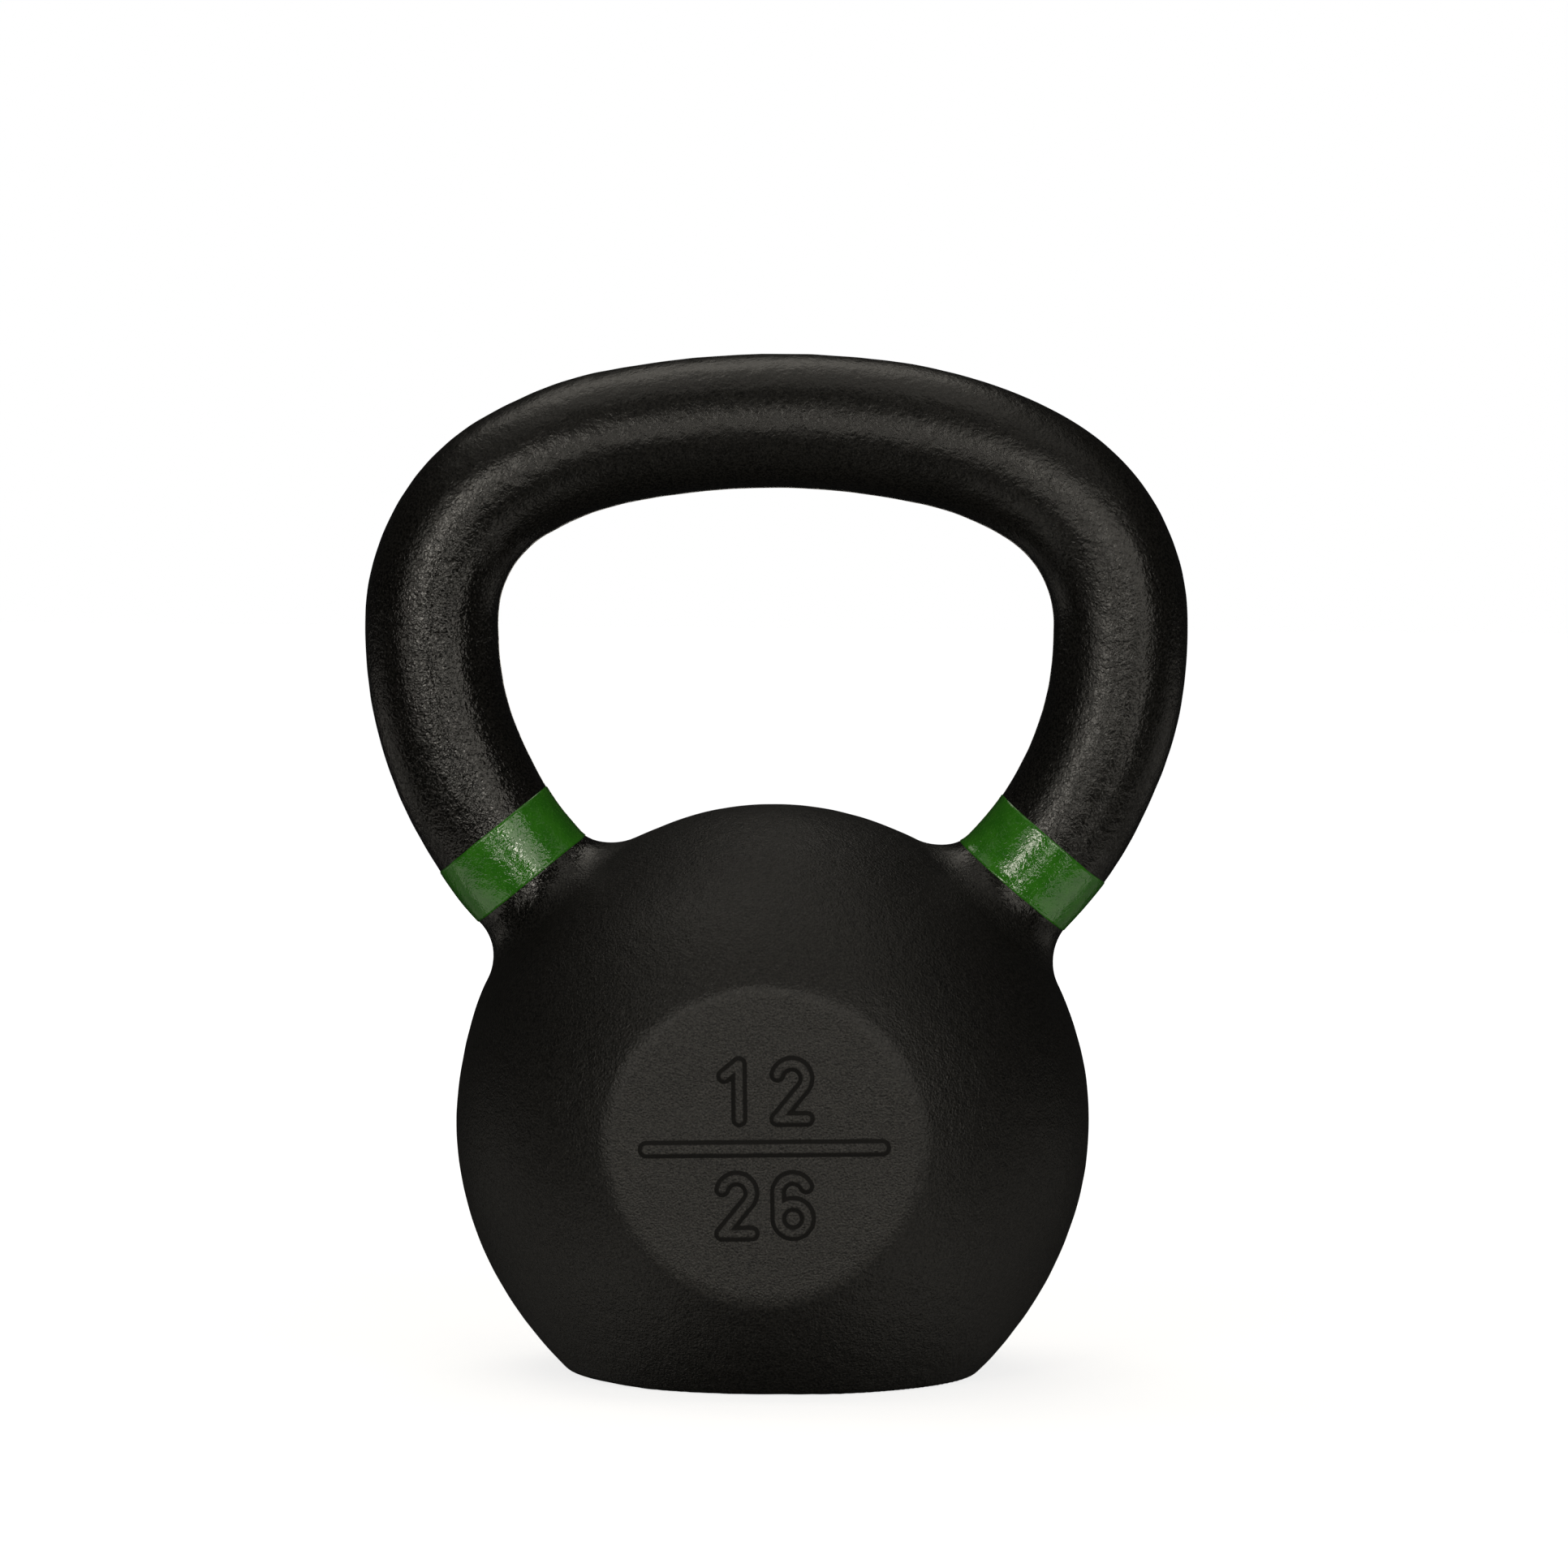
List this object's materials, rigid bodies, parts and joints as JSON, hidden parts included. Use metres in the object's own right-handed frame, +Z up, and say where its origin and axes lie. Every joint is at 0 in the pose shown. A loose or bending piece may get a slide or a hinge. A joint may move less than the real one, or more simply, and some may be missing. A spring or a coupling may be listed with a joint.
{
  "type": "kettlebell",
  "caption": "Cast-iron kettlebell: a round bell with a flat base and flat front and rear pads, a curved two-hand handle and a painted band around each horn.",
  "frame": {"origin": "centre of the flat base that the kettlebell stands on", "axes": "+Z up towards the handle, +X along the handle's span, -Y out of the front pad that carries the numerals"},
  "size_m": [0.1842, 0.125, 0.228],
  "materials": {
    "black_coat": "satin black powder coat over cast iron, with a fine orange-peel grain",
    "band_enamel": "glossy green enamel brushed over the cast grain"
  },
  "bodies": {
    "root": {"bell": "black_coat", "handle": "black_coat", "left_band": "band_enamel", "right_band": "band_enamel", "kilogram_numerals": "black_coat", "divider_bar": "black_coat", "pound_numerals": "black_coat"}
  },
  "joints": []
}
